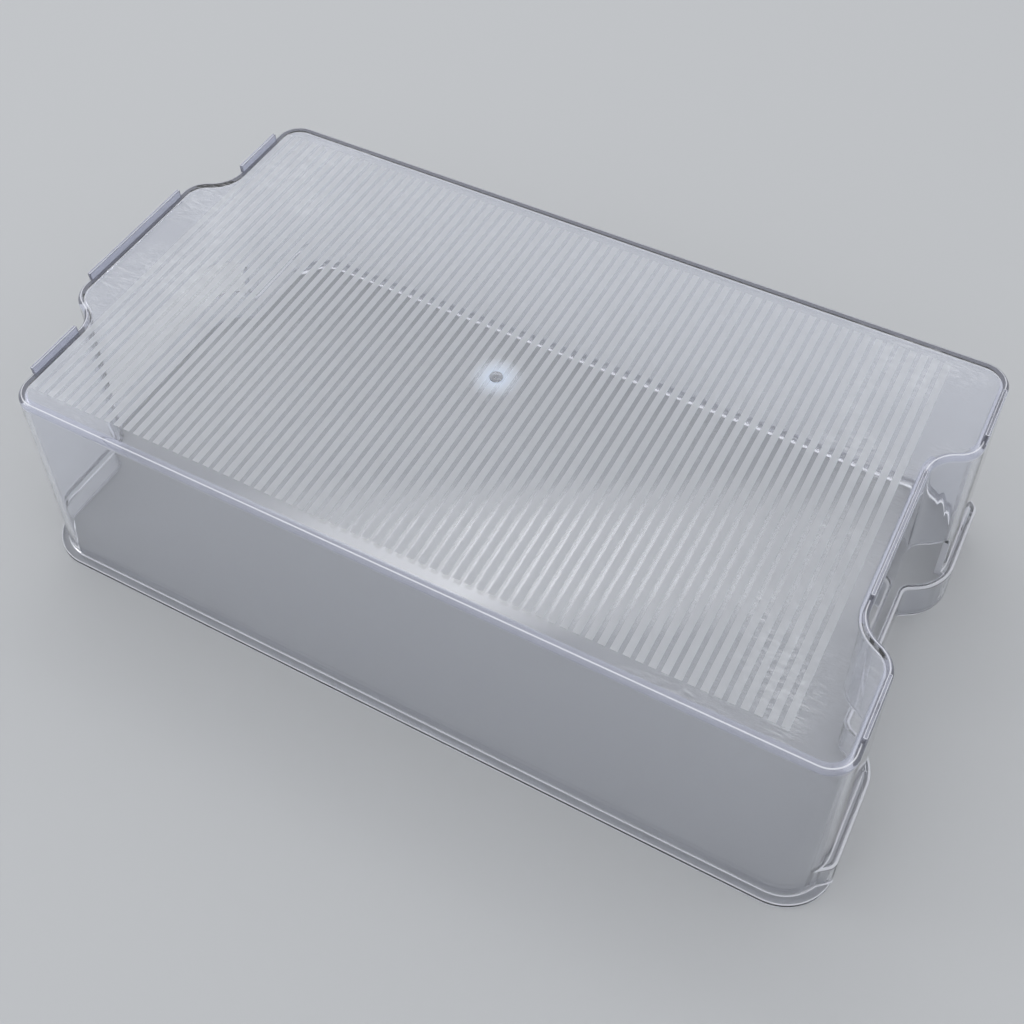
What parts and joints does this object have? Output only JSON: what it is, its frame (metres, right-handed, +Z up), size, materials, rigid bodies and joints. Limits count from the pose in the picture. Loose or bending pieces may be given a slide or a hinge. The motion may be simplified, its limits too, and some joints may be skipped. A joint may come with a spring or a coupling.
{
  "type": "fridge storage bin",
  "caption": "Clear moulded fridge bin, turned over on its rim, with drafted walls, a lobe and a matching recess at its ends, finger slots over stepped grip bands and stacking feet.",
  "frame": {"origin": "middle of the rim plane that the turned-over bin rests on, centred on the whole length and width", "axes": "+X along the bin from the lobed end to the recessed end, +Z up through the base and its feet"},
  "size_m": [0.3592, 0.2064, 0.0931],
  "materials": {
    "clear_plastic": "clear, polished, with frosted stripes across the outside of the base"
  },
  "bodies": {
    "root": {"base_panel": "clear_plastic", "near_side_wall": "clear_plastic", "far_side_wall": "clear_plastic", "lobed_end_wall": "clear_plastic", "recessed_end_wall": "clear_plastic", "lobed_near_corner": "clear_plastic", "lobed_far_corner": "clear_plastic", "recessed_near_corner": "clear_plastic", "recessed_far_corner": "clear_plastic", "lobed_end_grip": "clear_plastic", "recessed_end_grip": "clear_plastic", "near_rim_flange": "clear_plastic", "far_rim_flange": "clear_plastic", "lobed_near_foot": "clear_plastic", "lobed_middle_foot": "clear_plastic", "lobed_far_foot": "clear_plastic", "recessed_near_foot": "clear_plastic", "recessed_middle_foot": "clear_plastic", "recessed_far_foot": "clear_plastic", "gate_mark": "clear_plastic"}
  },
  "joints": []
}
